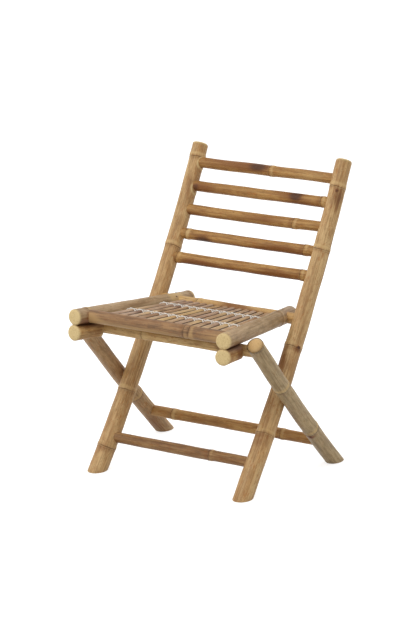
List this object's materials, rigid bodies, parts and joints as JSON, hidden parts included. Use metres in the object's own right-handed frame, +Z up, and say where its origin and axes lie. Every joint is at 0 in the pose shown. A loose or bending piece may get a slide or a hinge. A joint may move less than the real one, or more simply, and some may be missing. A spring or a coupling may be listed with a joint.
{
  "type": "folding chair",
  "caption": "Armless folding chair of round bamboo poles: crossed legs, ladder back, and a slatted seat lashed with cord that hinges up on its rear axle.",
  "frame": {"origin": "centre of the chair's box on the floor plane", "axes": "+Z up, -Y towards the front of the seat, +X to the right as seen from the front"},
  "size_m": [0.5611, 0.6116, 0.7697],
  "materials": {
    "bamboo_pole": "lacquered bamboo, satin",
    "bamboo_grey": "lacquered bamboo, greyed, satin",
    "bamboo_brown": "lacquered bamboo, scorched in places, satin",
    "split_bamboo": "split bamboo, satin",
    "hardwood_dowel": "turned hardwood",
    "cotton_cord": "twisted white cord",
    "steel_nail": "darkened steel"
  },
  "bodies": {
    "back_frame": {"left_post": "bamboo_pole", "right_post": "bamboo_pole", "back_rung_1": "bamboo_brown", "back_rung_2": "bamboo_brown", "back_rung_3": "bamboo_brown", "back_rung_4": "bamboo_brown", "back_rung_5": "bamboo_brown", "front_stretcher": "bamboo_brown", "left_pivot_dowel": "hardwood_dowel", "right_pivot_dowel": "hardwood_dowel", "rung_nails": "steel_nail", "front_stretcher_nails": "steel_nail"},
    "seat": {"left_seat_rail": "bamboo_grey", "right_seat_rail": "bamboo_grey", "seat_front_rail": "bamboo_grey", "seat_axle": "bamboo_brown", "left_stop_block": "bamboo_grey", "right_stop_block": "bamboo_grey", "slat_01": "split_bamboo", "slat_02": "split_bamboo", "slat_03": "split_bamboo", "slat_04": "split_bamboo", "slat_05": "split_bamboo", "slat_06": "split_bamboo", "slat_07": "split_bamboo", "slat_08": "split_bamboo", "slat_09": "split_bamboo", "slat_10": "split_bamboo", "slat_11": "split_bamboo", "slat_12": "split_bamboo", "slat_13": "split_bamboo", "front_lashing": "cotton_cord", "rear_lashing": "cotton_cord", "axle_nails": "steel_nail", "front_rail_nails": "steel_nail", "block_screws": "steel_nail"},
    "leg_frame": {"left_leg": "bamboo_pole", "right_leg": "bamboo_pole", "leg_crossbar": "bamboo_brown", "rear_stretcher": "bamboo_brown", "crossbar_nails": "steel_nail", "rear_stretcher_nails": "steel_nail"}
  },
  "joints": [
    {"name": "seat_fold", "type": "hinge", "parent": "back_frame", "child": "seat", "pos_m": [0, 0.07906, 0.3895], "axis": [-1, 0, 0], "range_deg": [0, 98]},
    {"name": "leg_fold", "type": "hinge", "parent": "back_frame", "child": "leg_frame", "pos_m": [0, -0.04194, 0.21244], "axis": [-1, 0, 0], "range_deg": [0, 65]}
  ],
  "couplings": [
    {"joint": "leg_fold", "follows": "seat_fold", "ratio": 0.66}
  ]
}
